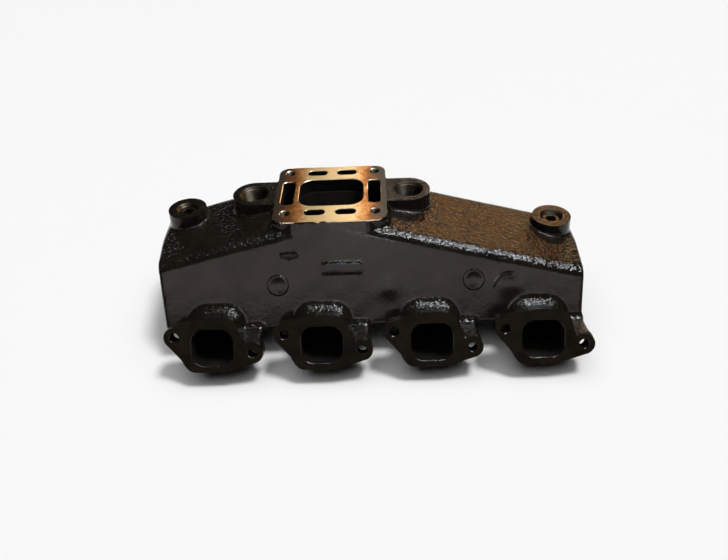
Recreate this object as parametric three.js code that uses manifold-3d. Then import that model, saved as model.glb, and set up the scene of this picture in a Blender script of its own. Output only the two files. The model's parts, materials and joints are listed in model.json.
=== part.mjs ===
// Water-jacketed exhaust manifold for one bank of a V8 boat engine, with its riser flange near the middle.
// Millimetres. +X runs along the engine, +Y points away from the cylinder head, +Z is up.
// While it is drawn, X = 0 is the middle of the riser flange, Y = 0 its edge on the port side and Z = 0 its
// machined face. The last lines move the whole assembly so that the origin is the middle of its footprint.
import * as THREE from "three";
import { mergeVertices } from "three/addons/utils/BufferGeometryUtils.js";
import Module from "manifold-3d";

const wasm = await Module();
wasm.setup();

// ---- driving dimensions -------------------------------------------------------------------------------
const GAP = 0.3; // clearance left between neighbouring pieces
const WALL = 6.5; // casting wall
const FAR = 600; // longer than the manifold, for cuts that go all the way through
const PAST = 5; // how far a shorter cut reaches past what it cuts
const ARC_STEPS = 4; // fineness of the arcs in an outline

// The jacket: a long box with a leaning port-side wall, two roofs that fall away from the riser, and a rear
// that is deepest behind the riser.
const WALL_LEAN = THREE.MathUtils.degToRad(28); // lean of the port-side wall from the vertical
const WALL_HEIGHT = 120; // height of that wall, measured along its slope from the riser face
const BODY_LEFT = -201; // the ends, where the plan's end lines cross Y = 0
const BODY_RIGHT = 289.7;
const LEFT_FLARE = 0.11; // how much each end spreads for each millimetre towards the rear
const RIGHT_FLARE = 0.075;
const REAR_Y = 114;
const REAR_TAPER = 0.14; // how much the rear comes forward for each millimetre away from the riser
const REAR_CORNER = 20; // size of the rear corners in plan
const ROOF_SLOPE = THREE.MathUtils.degToRad(11.5);
const ROOF_Z = -11.8; // roof height at the sides of the riser flange
const FLOOR_Z = -150;
const FLOOR_FRONT = -4.5;
const FLOOR_REAR = 72;
const REAR_CHAMFER_Z = -108;

// The riser flange and the neck under it.
const RISER_HALF = 65.5;
const RISER_DEPTH = 122;
const RISER_THICK = 11;
const RISER_CORNER = 13;
const RISER_MID_Y = 63;
const GAS_OPENING = { width: 76.5, depth: 59, corner: 17 };
const WATER_OPENING = { x: 51.5, width: 15, depth: 51, corner: 5 };
const SLOT = { x: 18, width: 24, depth: 11.5, corner: 5.7, nearY: 19.5, farY: 108.5 };
const RISER_BOLT = { x: 52, nearY: 19, farY: 110, radius: 5.5, depth: 30, post: 11 };
const NECK_HALF = 65;
const NECK_REAR_Y = 121;
const NECK_SHOULDER_Z = -24; // where the rear of the neck starts to lean in
const NECK_FOOT_Z = -62; // where it meets the rear wall
const NECK_FRONT_FOOT_Z = -46; // how far down the port-side wall it reaches

// Threaded bosses, all upright, and the plugs in them.
const HOSE_BOSS = { x: 92.6, y: 66, radius: 25.5, bore: 16, topZ: -1 };
const END_BOSSES = [
  { word: "left", x: -177, y: 66, topZ: -18.5 },
  { word: "right", x: 265, y: 54, topZ: -38 },
];
const END_BOSS_RADIUS = 23;
const END_BOSS_BORE = 11.5;
const END_PLUG = { length: 14, sunk: 4, socket: 7.5, socketDepth: 8 };
const BOSS_ROOT = 15; // how far a boss is drawn into the jacket before it is trimmed to the roof
const DRAIN = { x: 232, z: -98, radius: 17, length: 10, bore: 10.5 };
const DRAIN_PLUG = { reach: 4, shoulder: 3, head: 9, headLength: 12 };

// The four ports.
const PORT_COUNT = 4;
const PORT_PITCH = 122.9;
const FIRST_PORT_X = -134.8;
const PORT_Y = -93.5;
const PORT_Z = -102.7;
const PORT_PROUD = 34; // how far the port faces stand off the port-side wall
const PORT_THICK = 19;
const PORT_OPENING = { width: 46.6, height: 42, corner: 14 };
const RUNNER = { width: 58, height: 54, corner: 18 };
const PORT_HOLE_RADIUS = 5.25;
const EAR_RADIUS = 12;
const LEFT_EAR = { u: -41.6, v: 12.9 };
const RIGHT_EAR = { u: 45, v: -6.9 };
const EAR_RIB = { u: 21, width: 29, flangeLow: -1, flangeHigh: 8, wallLow: 5, wallHigh: 13 };

// The gas passage inside the jacket.
const LOG = { left: -176, right: 275, front: -8, rear: 66, bottom: -138, top: -84, corner: 15, wall: 5 };
const LOG_PORT_MARGIN = 2; // between a port's opening and the log's roof and floor
const DUCT_WALL = 5;

// Plugs that close the jacket.
const FRONT_CORE_PLUG = { xs: [-62, 162], slope: 72, radius: 12.7, proud: 0.8 };
const REAR_CORE_PLUG = { xs: [-130, 30, 160], z: -84, radius: 19, sunk: 1.5 };
const CORE_PLUG_THICK = 4;

// ---- materials ----------------------------------------------------------------------------------------
const blackCasting = { color: 0x17150f, roughness: 0.35, metalness: 0.1 };
const machinedIron = { color: 0xa88a66, roughness: 0.4, metalness: 0.9 };
const rustyInside = { color: 0x2a2119, roughness: 0.8, metalness: 0.3 };
const plugSteel = { color: 0x5a4f44, roughness: 0.5, metalness: 0.8 };
const brass = { color: 0xb08d4c, roughness: 0.4, metalness: 0.9 };

// ---- solids -------------------------------------------------------------------------------------------
function toSolid(geometry) {
  const bare = geometry.clone();
  bare.deleteAttribute("normal");
  bare.deleteAttribute("uv");
  const merged = mergeVertices(bare, 1e-4);
  const mesh = new wasm.Mesh({
    numProp: 3,
    vertProperties: new Float32Array(merged.attributes.position.array),
    triVerts: new Uint32Array(merged.index.array),
  });
  return new wasm.Manifold(mesh);
}

function toGeometry(solid) {
  const mesh = solid.getMesh();
  const geometry = new THREE.BufferGeometry();
  geometry.setAttribute("position", new THREE.BufferAttribute(new Float32Array(mesh.vertProperties), 3));
  geometry.setIndex(new THREE.BufferAttribute(new Uint32Array(mesh.triVerts), 1));
  geometry.computeVertexNormals();
  return geometry;
}

// Three axes and a place as one matrix: where a shape's own x, y and depth directions go.
function frameOf(xAxis, yAxis, zAxis, origin) {
  return new THREE.Matrix4().makeBasis(xAxis, yAxis, zAxis).setPosition(origin);
}

const X = new THREE.Vector3(1, 0, 0);
const Y = new THREE.Vector3(0, 1, 0);
const Z = new THREE.Vector3(0, 0, 1);

function extrude(shape, depth, matrix) {
  const geometry = new THREE.ExtrudeGeometry(shape, { depth, bevelEnabled: false, curveSegments: ARC_STEPS });
  return toSolid(geometry.applyMatrix4(matrix));
}

function polygon(points) {
  return new THREE.Shape(points.map(([x, y]) => new THREE.Vector2(x, y)));
}

// A shape drawn as (y, z) and run along X, as (x, z) and run along Y, or as (x, y) and run along Z.
const alongX = (shape, from, to) => extrude(shape, to - from, frameOf(Y, Z, X, new THREE.Vector3(from, 0, 0)));
const alongZ = (shape, from, to) => extrude(shape, to - from, frameOf(X, Y, Z, new THREE.Vector3(0, 0, from)));
const alongY = (shape, from, to) =>
  extrude(shape, to - from, frameOf(X, Z, Y.clone().negate(), new THREE.Vector3(0, to, 0)));

function roundedRect(width, height, corner, cx = 0, cy = 0) {
  const shape = new THREE.Shape();
  const [w, h] = [width / 2 - corner, height / 2 - corner];
  shape.absarc(cx + w, cy + h, corner, 0, Math.PI / 2);
  shape.absarc(cx - w, cy + h, corner, Math.PI / 2, Math.PI);
  shape.absarc(cx - w, cy - h, corner, Math.PI, 1.5 * Math.PI);
  shape.absarc(cx + w, cy - h, corner, 1.5 * Math.PI, 2 * Math.PI);
  return shape;
}

function circle(cx, cy, radius) {
  return roundedRect(2 * radius, 2 * radius, radius, cx, cy);
}

// The same outline at two places, joined by straight sides.
function loft(shape, startMatrix, endMatrix) {
  const geometry = new THREE.ExtrudeGeometry(shape, { depth: 1, bevelEnabled: false, curveSegments: ARC_STEPS });
  const position = geometry.attributes.position;
  const point = new THREE.Vector3();
  for (let i = 0; i < position.count; i++) {
    point.fromBufferAttribute(position, i);
    const matrix = point.z < 0.5 ? startMatrix : endMatrix;
    point.z = 0;
    point.applyMatrix4(matrix);
    position.setXYZ(i, point.x, point.y, point.z);
  }
  return toSolid(geometry);
}

// A convex, anticlockwise outline moved inward by a distance for each side.
function inset(points, distances) {
  const count = points.length;
  const lines = points.map(([x, y], i) => {
    const [nextX, nextY] = points[(i + 1) % count];
    const length = Math.hypot(nextX - x, nextY - y);
    const [dx, dy] = [(nextX - x) / length, (nextY - y) / length];
    const distance = distances[i];
    return { x: x - dy * distance, y: y + dx * distance, dx, dy };
  });
  return lines.map((line, i) => {
    const before = lines[(i + count - 1) % count];
    const cross = before.dx * line.dy - before.dy * line.dx;
    const along = ((line.x - before.x) * line.dy - (line.y - before.y) * line.dx) / cross;
    return [before.x + before.dx * along, before.y + before.dy * along];
  });
}

// ---- the jacket's outlines ----------------------------------------------------------------------------
const LEAN = Math.tan(WALL_LEAN);
const wallPoint = (slope) => [-Math.sin(WALL_LEAN) * slope, -Math.cos(WALL_LEAN) * slope];

// Across the jacket, as (y, z). Side 0 is the port-side wall; the others follow round the underside.
const SECTION = [
  [0, 0],
  wallPoint(WALL_HEIGHT),
  [FLOOR_FRONT, FLOOR_Z],
  [FLOOR_REAR, FLOOR_Z],
  [REAR_Y, REAR_CHAMFER_Z],
  [REAR_Y, 0],
];
const roofHeight = (x) => ROOF_Z - (Math.abs(x) - RISER_HALF) * Math.tan(ROOF_SLOPE);

// Along the jacket, as (x, z): everything below the two roofs, lowered by a drop measured straight down.
function belowRoof(drop) {
  const top = -RISER_THICK - GAP;
  const kneeX = RISER_HALF + (ROOF_Z - top) / Math.tan(ROOF_SLOPE);
  return polygon([
    [-FAR, -FAR],
    [FAR, -FAR],
    [FAR, roofHeight(FAR) - drop],
    [kneeX, top - drop],
    [-kneeX, top - drop],
    [-FAR, roofHeight(-FAR) - drop],
  ]);
}

// In plan, as (x, y): sides 1 and 2 are the right end, 3 to 5 the rear, and 6 and 7 the left end.
const PLAN_FRONT = -110;
const leftEnd = (y) => BODY_LEFT - LEFT_FLARE * y;
const rightEnd = (y) => BODY_RIGHT + RIGHT_FLARE * y;
const rearAt = (x) => REAR_Y - REAR_TAPER * Math.max(0, Math.abs(x) - RISER_HALF);
const rightCornerY = rearAt(BODY_RIGHT) - REAR_CORNER;
const leftCornerY = rearAt(BODY_LEFT) - REAR_CORNER;
const rightCornerX = rightEnd(rightCornerY) - REAR_CORNER * 0.45;
const leftCornerX = leftEnd(leftCornerY) + REAR_CORNER * 0.45;
const PLAN = [
  [leftEnd(PLAN_FRONT), PLAN_FRONT],
  [rightEnd(PLAN_FRONT), PLAN_FRONT],
  [rightEnd(rightCornerY), rightCornerY],
  [rightCornerX, rearAt(rightCornerX)],
  [RISER_HALF, REAR_Y],
  [-RISER_HALF, REAR_Y],
  [leftCornerX, rearAt(leftCornerX)],
  [leftEnd(leftCornerY), leftCornerY],
];
const insetPlan = (distance) => inset(PLAN, PLAN.map((_, side) => (side === 0 ? 0 : distance)));

const jacketBlock = alongX(polygon(SECTION), -FAR, FAR)
  .intersect(alongY(belowRoof(0), -FAR, FAR))
  .intersect(alongZ(polygon(PLAN), -FAR, 0));
const INNER_SECTION = inset(SECTION, SECTION.map(() => WALL));
const jacketHollow = alongX(polygon(INNER_SECTION), -FAR, FAR).intersect(alongY(belowRoof(WALL), -FAR, FAR));
const underRoofs = alongY(belowRoof(WALL + GAP), -FAR, FAR);
const insideEnds = alongZ(polygon(insetPlan(WALL + GAP)), -FAR, FAR);

// ---- the ports ----------------------------------------------------------------------------------------
// A port's own frame: u along X, v up its face, and depth into the casting.
const PORT_V = new THREE.Vector3(0, Math.sin(WALL_LEAN), Math.cos(WALL_LEAN));
const PORT_INWARD = new THREE.Vector3(0, Math.cos(WALL_LEAN), -Math.sin(WALL_LEAN));

function portFrame(index, depth) {
  const face = new THREE.Vector3(FIRST_PORT_X + PORT_PITCH * index, PORT_Y, PORT_Z);
  return frameOf(X, PORT_V, PORT_INWARD.clone().negate(), face.addScaledVector(PORT_INWARD, depth));
}

// A shape in a port's (u, v), run from one depth to a greater one.
const intoPort = (index, shape, from, to) => extrude(shape, to - from, portFrame(index, to));

// Where a runner meets the log: upright, and square to Y.
function logFrame(index, y) {
  const x = FIRST_PORT_X + PORT_PITCH * index;
  return frameOf(X, Z, Y.clone().negate(), new THREE.Vector3(x, y, (LOG.top + LOG.bottom) / 2));
}

// A runner's outline, grown all round, and made longer at both ends where it is a cut.
function runnerLoft(index, size, grow, longer = 0) {
  const outline = roundedRect(size.width + 2 * grow, size.height + 2 * grow, size.corner + grow);
  return loft(outline, logFrame(index, LOG.front - GAP + longer), portFrame(index, PORT_THICK + GAP - longer));
}

function portFlangeOutline() {
  const shape = new THREE.Shape();
  shape.moveTo(-26, 30);
  shape.absarc(LEFT_EAR.u, LEFT_EAR.v, EAR_RADIUS, 1.75, 3.85);
  shape.lineTo(-35, -13);
  shape.quadraticCurveTo(-30, -27, -21, -28);
  shape.lineTo(16, -28);
  shape.absarc(RIGHT_EAR.u, RIGHT_EAR.v, EAR_RADIUS, -1.15, 2.35);
  shape.lineTo(32, 17);
  shape.quadraticCurveTo(29, 31, 17, 33);
  shape.quadraticCurveTo(-2, 36, -26, 30);
  return shape;
}

function portFlange(index) {
  const holes = [
    roundedRect(PORT_OPENING.width, PORT_OPENING.height, PORT_OPENING.corner),
    circle(LEFT_EAR.u, LEFT_EAR.v, PORT_HOLE_RADIUS),
    circle(RIGHT_EAR.u, RIGHT_EAR.v, PORT_HOLE_RADIUS),
  ];
  return holes.reduce(
    (solid, hole) => solid.subtract(intoPort(index, hole, -1, PORT_THICK + 1)),
    intoPort(index, portFlangeOutline(), 0, PORT_THICK),
  );
}

// The rib that ties a flange's lower ear back to the foot of the wall, drawn as (depth, v) and run along u.
function earGusset(index) {
  const rib = polygon([
    [PORT_THICK + GAP, EAR_RIB.flangeLow],
    [PORT_PROUD - GAP, EAR_RIB.wallLow],
    [PORT_PROUD - GAP, EAR_RIB.wallHigh],
    [PORT_THICK + GAP, EAR_RIB.flangeHigh],
  ]);
  const corner = portFrame(index, 0);
  const toPort = frameOf(Z.clone().negate(), Y, X, new THREE.Vector3(EAR_RIB.u, 0, 0));
  return extrude(rib, EAR_RIB.width, corner.multiply(toPort));
}

function portRunner(index) {
  return runnerLoft(index, RUNNER, 0).add(earGusset(index)).subtract(runnerLoft(index, PORT_OPENING, 0, 1));
}

const PORTS = Array.from({ length: PORT_COUNT }, (_, index) => index);

// ---- the riser ----------------------------------------------------------------------------------------
const RISER_BOLT_PLACES = [-1, 1].flatMap((side) => [
  [side * RISER_BOLT.x, RISER_BOLT.nearY],
  [side * RISER_BOLT.x, RISER_BOLT.farY],
]);
const riserPosts = (radius, fromZ, toZ) =>
  RISER_BOLT_PLACES.map(([x, y]) => alongZ(circle(x, y, radius), fromZ, toZ));

function riserFlange() {
  const outline = roundedRect(2 * RISER_HALF, RISER_DEPTH, RISER_CORNER, 0, RISER_DEPTH / 2);
  const opening = roundedRect(GAS_OPENING.width, GAS_OPENING.depth, GAS_OPENING.corner, 0, RISER_MID_Y);
  const cuts = [alongZ(opening, -FAR, FAR), ...riserPosts(RISER_BOLT.radius, -FAR, FAR)];
  for (const side of [-1, 1]) {
    const { x, width, depth, corner } = WATER_OPENING;
    cuts.push(alongZ(roundedRect(width, depth, corner, side * x, RISER_MID_Y), -FAR, FAR));
    for (const y of [SLOT.nearY, SLOT.farY]) {
      const slot = roundedRect(SLOT.width, SLOT.depth, SLOT.corner, side * SLOT.x, y);
      cuts.push(alongZ(slot, -FAR, FAR));
    }
  }
  return cuts.reduce((solid, cut) => solid.subtract(cut), alongZ(outline, -RISER_THICK, 0));
}

// Across the neck, as (y, z): its front lies in the plane of the port-side wall, and its rear leans in to the
// jacket's rear wall.
function neckSection(frontInset, rearInset, top, lower) {
  return polygon([
    [LEAN * top + frontInset, top],
    [LEAN * NECK_FRONT_FOOT_Z + frontInset, NECK_FRONT_FOOT_Z],
    [0, NECK_FRONT_FOOT_Z - lower],
    [REAR_Y - rearInset, NECK_FOOT_Z - lower],
    [NECK_REAR_Y - rearInset, NECK_SHOULDER_Z],
    [NECK_REAR_Y - rearInset, top],
  ]);
}

const UNDER_FLANGE = -RISER_THICK - GAP;

// The neck is hollow, with a solid post in each corner for a riser bolt. Below the roofs only its front and
// rear walls are left, so that the water can reach it from both sides.
function riserNeck() {
  const frontWall = WALL / Math.cos(WALL_LEAN);
  const outside = alongX(neckSection(0, 0, UNDER_FLANGE, 0), -NECK_HALF, NECK_HALF);
  const hollow = alongX(neckSection(frontWall, WALL, PAST, PAST), WALL - NECK_HALF, NECK_HALF - WALL);
  const posts = riserPosts(RISER_BOLT.post, -RISER_BOLT.depth - WALL, UNDER_FLANGE);
  const holes = riserPosts(RISER_BOLT.radius, -RISER_BOLT.depth, 1);
  const walls = outside.subtract(hollow).subtract(jacketHollow);
  const corners = posts.reduce((solid, post) => solid.add(post.intersect(outside)), walls);
  return holes.reduce((solid, hole) => solid.subtract(hole), corners);
}

// The room that the neck takes out of the jacket's walls and roofs.
const neckRoom = alongX(
  polygon([
    [-FAR, NECK_FRONT_FOOT_Z - GAP],
    [0, NECK_FRONT_FOOT_Z - GAP],
    [REAR_Y - WALL, NECK_FOOT_Z - GAP],
    [FAR, NECK_FOOT_Z - GAP],
    [FAR, FAR],
    [-FAR, FAR],
  ]),
  -NECK_HALF - GAP,
  NECK_HALF + GAP,
);

const gasOutline = (grow) =>
  roundedRect(GAS_OPENING.width + 2 * grow, GAS_OPENING.depth + 2 * grow, GAS_OPENING.corner + grow);

// The duct that carries the gas from the log up through the neck. It leans towards the rear.
function riserDuct() {
  const logMidY = (LOG.front + LOG.rear) / 2;
  const between = (grow, longer) => {
    const top = frameOf(X, Y, Z, new THREE.Vector3(0, RISER_MID_Y, UNDER_FLANGE + longer));
    const foot = frameOf(X, Y, Z, new THREE.Vector3(0, logMidY, LOG.top + GAP - longer));
    return loft(gasOutline(grow), foot, top);
  };
  return between(DUCT_WALL, 0).subtract(between(0, 1));
}

// ---- the gas log --------------------------------------------------------------------------------------
const logOutline = (grow) =>
  roundedRect(
    LOG.rear - LOG.front + 2 * grow,
    LOG.top - LOG.bottom + 2 * grow,
    LOG.corner + grow,
    (LOG.front + LOG.rear) / 2,
    (LOG.top + LOG.bottom) / 2,
  );

function exhaustLog() {
  const outside = alongX(logOutline(0), LOG.left, LOG.right);
  const hollow = alongX(logOutline(-LOG.wall), LOG.left + LOG.wall, LOG.right - LOG.wall);
  const punch = LOG.wall + PAST;
  const openingHeight = LOG.top - LOG.bottom - 2 * (LOG.wall + LOG_PORT_MARGIN);
  const portOpening = roundedRect(PORT_OPENING.width, openingHeight, LOG.corner - LOG.wall);
  const portHoles = PORTS.map((index) => extrude(portOpening, 2 * punch, logFrame(index, LOG.front + punch)));
  const foot = frameOf(X, Y, Z, new THREE.Vector3(0, (LOG.front + LOG.rear) / 2, LOG.top - punch));
  const riserHole = extrude(gasOutline(0), 2 * punch, foot);
  return [hollow, ...portHoles, riserHole].reduce((solid, cut) => solid.subtract(cut), outside);
}

// ---- bosses and plugs ---------------------------------------------------------------------------------
const endBossBore = ({ x, y }) => alongZ(circle(x, y, END_BOSS_BORE), -FAR, FAR);

function endBoss(boss) {
  const column = alongZ(circle(boss.x, boss.y, END_BOSS_RADIUS), roofHeight(boss.x) - BOSS_ROOT, boss.topZ);
  return column.subtract(jacketBlock.translate([0, 0, GAP])).subtract(endBossBore(boss));
}

// A pipe plug with a hexagon socket, sunk a little below the boss's face.
function endPlug({ x, y, topZ }) {
  const top = topZ - END_PLUG.sunk;
  const plug = alongZ(circle(x, y, END_BOSS_BORE - GAP), top - END_PLUG.length, top);
  const hexagon = Array.from({ length: 6 }, (_, i) => {
    const angle = (i * Math.PI) / 3;
    return [x + END_PLUG.socket * Math.cos(angle), y + END_PLUG.socket * Math.sin(angle)];
  });
  return plug.subtract(alongZ(polygon(hexagon), top - END_PLUG.socketDepth, top + 1));
}

const hoseBore = (side) => alongZ(circle(side * HOSE_BOSS.x, HOSE_BOSS.y, HOSE_BOSS.bore), -FAR, FAR);

// A hose boss reaches from the side of the riser flange to its own round end, and stands on the roof.
function hoseBoss(side) {
  const { x, y, radius, topZ } = HOSE_BOSS;
  const inner = RISER_HALF + GAP;
  const outline = new THREE.Shape();
  outline.moveTo(inner, y - radius);
  outline.lineTo(x, y - radius);
  outline.absarc(x, y, radius, -Math.PI / 2, Math.PI / 2);
  outline.lineTo(inner, y + radius);
  const right = alongZ(outline, roofHeight(x + radius) - BOSS_ROOT, topZ);
  const block = side > 0 ? right : right.mirror([1, 0, 0]);
  return block.subtract(jacketBlock.translate([0, 0, GAP])).subtract(jacketBlock).subtract(hoseBore(side));
}

// A disc square to the port-side wall, from one depth behind its face to another.
function wallDisc(x, radius, from, to) {
  const [y, z] = wallPoint(FRONT_CORE_PLUG.slope);
  const place = new THREE.Vector3(x, y, z).addScaledVector(PORT_INWARD, to);
  const frame = frameOf(X, PORT_V, PORT_INWARD.clone().negate(), place);
  return extrude(circle(0, 0, radius), to - from, frame);
}

const frontCorePlug = (x) =>
  wallDisc(x, FRONT_CORE_PLUG.radius - GAP, -FRONT_CORE_PLUG.proud, CORE_PLUG_THICK);

// Square to the rear wall and facing out of it, at a depth behind its face.
function rearFrame(x, z, depth) {
  const taper = Math.abs(x) > RISER_HALF ? Math.sign(x) * REAR_TAPER : 0;
  const outward = new THREE.Vector3(taper, 1, 0).normalize();
  const place = new THREE.Vector3(x, rearAt(x), z).addScaledVector(outward, -depth);
  return frameOf(new THREE.Vector3().crossVectors(Z, outward), Z, outward, place);
}

// A disc square to the rear wall, from one depth behind its face to another.
const rearDisc = (x, z, radius, from, to) => extrude(circle(0, 0, radius), to - from, rearFrame(x, z, to));

function rearCorePlug(x) {
  const { z, radius, sunk } = REAR_CORE_PLUG;
  return rearDisc(x, z, radius - GAP, sunk, sunk + CORE_PLUG_THICK);
}

const drainDisc = (radius, from, to) => rearDisc(DRAIN.x, DRAIN.z, radius, from, to);

function drainBoss() {
  return drainDisc(DRAIN.radius, -DRAIN.length, -GAP).subtract(drainDisc(DRAIN.bore, -DRAIN.length - 1, 1));
}

// A brass plug with a square head.
function drainPlug() {
  const { reach, shoulder, head, headLength } = DRAIN_PLUG;
  const square = polygon([
    [-head, 0],
    [0, -head],
    [head, 0],
    [0, head],
  ]);
  const shank = drainDisc(DRAIN.bore - GAP, -DRAIN.length - shoulder, reach);
  return shank.add(extrude(square, headLength, rearFrame(DRAIN.x, DRAIN.z, -DRAIN.length)));
}

// ---- the jacket's walls -------------------------------------------------------------------------------
// Depths from outside a wall to inside it, for a cut right through.
const OUTSIDE = -PAST;
const INSIDE = 20;

// One side of an outline as a plate's section, mitred to its neighbours with half a gap at an open end.
function plateOutline(outline, insideOutline, side, openStart = true, openEnd = true) {
  const next = (side + 1) % outline.length;
  const [x, y] = outline[side];
  const [nextX, nextY] = outline[next];
  const length = Math.hypot(nextX - x, nextY - y);
  const step = [((nextX - x) / length) * (GAP / 2), ((nextY - y) / length) * (GAP / 2)];
  const moved = ([a, b], times) => [a + times * step[0], b + times * step[1]];
  const [start, end] = [openStart ? 1 : 0, openEnd ? -1 : 0];
  return polygon([
    moved(outline[side], start),
    moved(outline[next], end),
    moved(insideOutline[next], end),
    moved(insideOutline[side], start),
  ]);
}

// A wall that runs the length of the jacket, between the ends and under the roofs.
function longWall(side) {
  const plate = alongX(plateOutline(SECTION, INNER_SECTION, side), -FAR, FAR);
  return plate.intersect(underRoofs).intersect(insideEnds).subtract(neckRoom);
}

// An upright wall that follows the plan.
function uprightWall(side) {
  const plate = alongZ(plateOutline(PLAN, insetPlan(WALL), side), -FAR, 0);
  return plate.intersect(jacketBlock).intersect(underRoofs).subtract(neckRoom);
}

const cutFrom = (solid, cuts) => cuts.reduce((left, cut) => left.subtract(cut), solid);

function frontWall() {
  const runners = PORTS.map((index) => runnerLoft(index, RUNNER, GAP));
  const plugHoles = FRONT_CORE_PLUG.xs.map((x) => wallDisc(x, FRONT_CORE_PLUG.radius, OUTSIDE, INSIDE));
  return cutFrom(longWall(0), [...runners, ...plugHoles]);
}

const bellyFront = () => cutFrom(longWall(1), PORTS.map((index) => runnerLoft(index, RUNNER, GAP)));

function rearWall(side) {
  const { xs, z, radius } = REAR_CORE_PLUG;
  const plugHoles = xs.map((x) => rearDisc(x, z, radius, OUTSIDE, INSIDE));
  return cutFrom(uprightWall(side), [...plugHoles, drainDisc(DRAIN.bore, OUTSIDE, INSIDE)]);
}

// An end wall and the rear corner next to it are one piece, open only where the corner meets the rear wall.
function endWall(...plates) {
  const inside = insetPlan(WALL);
  const solids = plates.map(({ side, openStart = false, openEnd = false }) =>
    alongZ(plateOutline(PLAN, inside, side, openStart, openEnd), -FAR, 0),
  );
  return solids
    .reduce((joined, solid) => joined.add(solid))
    .intersect(jacketBlock)
    .intersect(underRoofs);
}

// Everything on one side of the riser's middle.
const sideOf = (side) =>
  alongX(
    polygon([
      [-FAR, -FAR],
      [FAR, -FAR],
      [FAR, FAR],
      [-FAR, FAR],
    ]),
    side < 0 ? -FAR : 0,
    side < 0 ? 0 : FAR,
  );

function roof(side) {
  const beneath = alongY(belowRoof(WALL), -FAR, FAR);
  const plate = jacketBlock.subtract(beneath).intersect(sideOf(side));
  return cutFrom(plate, [neckRoom, hoseBore(side), ...END_BOSSES.map((boss) => endBossBore(boss))]);
}

// ---- assembly -----------------------------------------------------------------------------------------
const manifold = new THREE.Group();

function addPiece(name, solid, finish) {
  const mesh = new THREE.Mesh(toGeometry(solid), new THREE.MeshStandardMaterial(finish));
  mesh.name = name;
  manifold.add(mesh);
}

addPiece("front_wall", frontWall(), blackCasting);
addPiece("belly_front", bellyFront(), blackCasting);
addPiece("belly_floor", longWall(2), blackCasting);
addPiece("belly_rear", longWall(3), blackCasting);
addPiece("rear_wall_right", rearWall(3), blackCasting);
addPiece("rear_wall_middle", rearWall(4), blackCasting);
addPiece("rear_wall_left", rearWall(5), blackCasting);
addPiece("end_wall_right", endWall({ side: 1 }, { side: 2, openEnd: true }), blackCasting);
addPiece("end_wall_left", endWall({ side: 6, openStart: true }, { side: 7 }), blackCasting);
addPiece("riser_neck", riserNeck(), blackCasting);
addPiece("riser_flange", riserFlange(), machinedIron);
addPiece("riser_duct", riserDuct(), rustyInside);
addPiece("exhaust_log", exhaustLog(), rustyInside);

for (const index of PORTS) {
  addPiece(`port_flange_${index + 1}`, portFlange(index), blackCasting);
  addPiece(`port_runner_${index + 1}`, portRunner(index), blackCasting);
}

for (const [side, word] of [
  [-1, "left"],
  [1, "right"],
]) {
  addPiece(`roof_${word}`, roof(side), blackCasting);
  addPiece(`hose_boss_${word}`, hoseBoss(side), blackCasting);
}

for (const boss of END_BOSSES) {
  addPiece(`end_boss_${boss.word}`, endBoss(boss), blackCasting);
  addPiece(`end_plug_${boss.word}`, endPlug(boss), plugSteel);
}

FRONT_CORE_PLUG.xs.forEach((x, i) => addPiece(`front_core_plug_${i + 1}`, frontCorePlug(x), blackCasting));
REAR_CORE_PLUG.xs.forEach((x, i) => addPiece(`rear_core_plug_${i + 1}`, rearCorePlug(x), blackCasting));
addPiece("drain_boss", drainBoss(), blackCasting);
addPiece("drain_plug", drainPlug(), brass);

const box = new THREE.Box3().setFromObject(manifold, true);
const middle = box.getCenter(new THREE.Vector3());
manifold.position.set(-middle.x, -middle.y, -box.min.z);

export default manifold;
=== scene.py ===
"""Looks of the water-jacketed exhaust manifold.

The casting is one continuous skin, because the real object is one pour of iron. It is described as a signed
distance (negative inside), which gives every edge and fillet its own radius, and it is meshed here. Machined
faces, passages, openings and threads are then cut into it with booleans. Plugs are pieces of their own.

Shapes are drawn in millimetres in the casting's own frame: X = 0 is the middle of the riser flange, Y = 0 its
edge on the port side and Z = 0 its machined face. ORIGIN, from the CAD frame, carries them to the row frame.
"""

import json
import math
from functools import partial

import bpy
import numpy as np
from mathutils import Matrix, Vector

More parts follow.
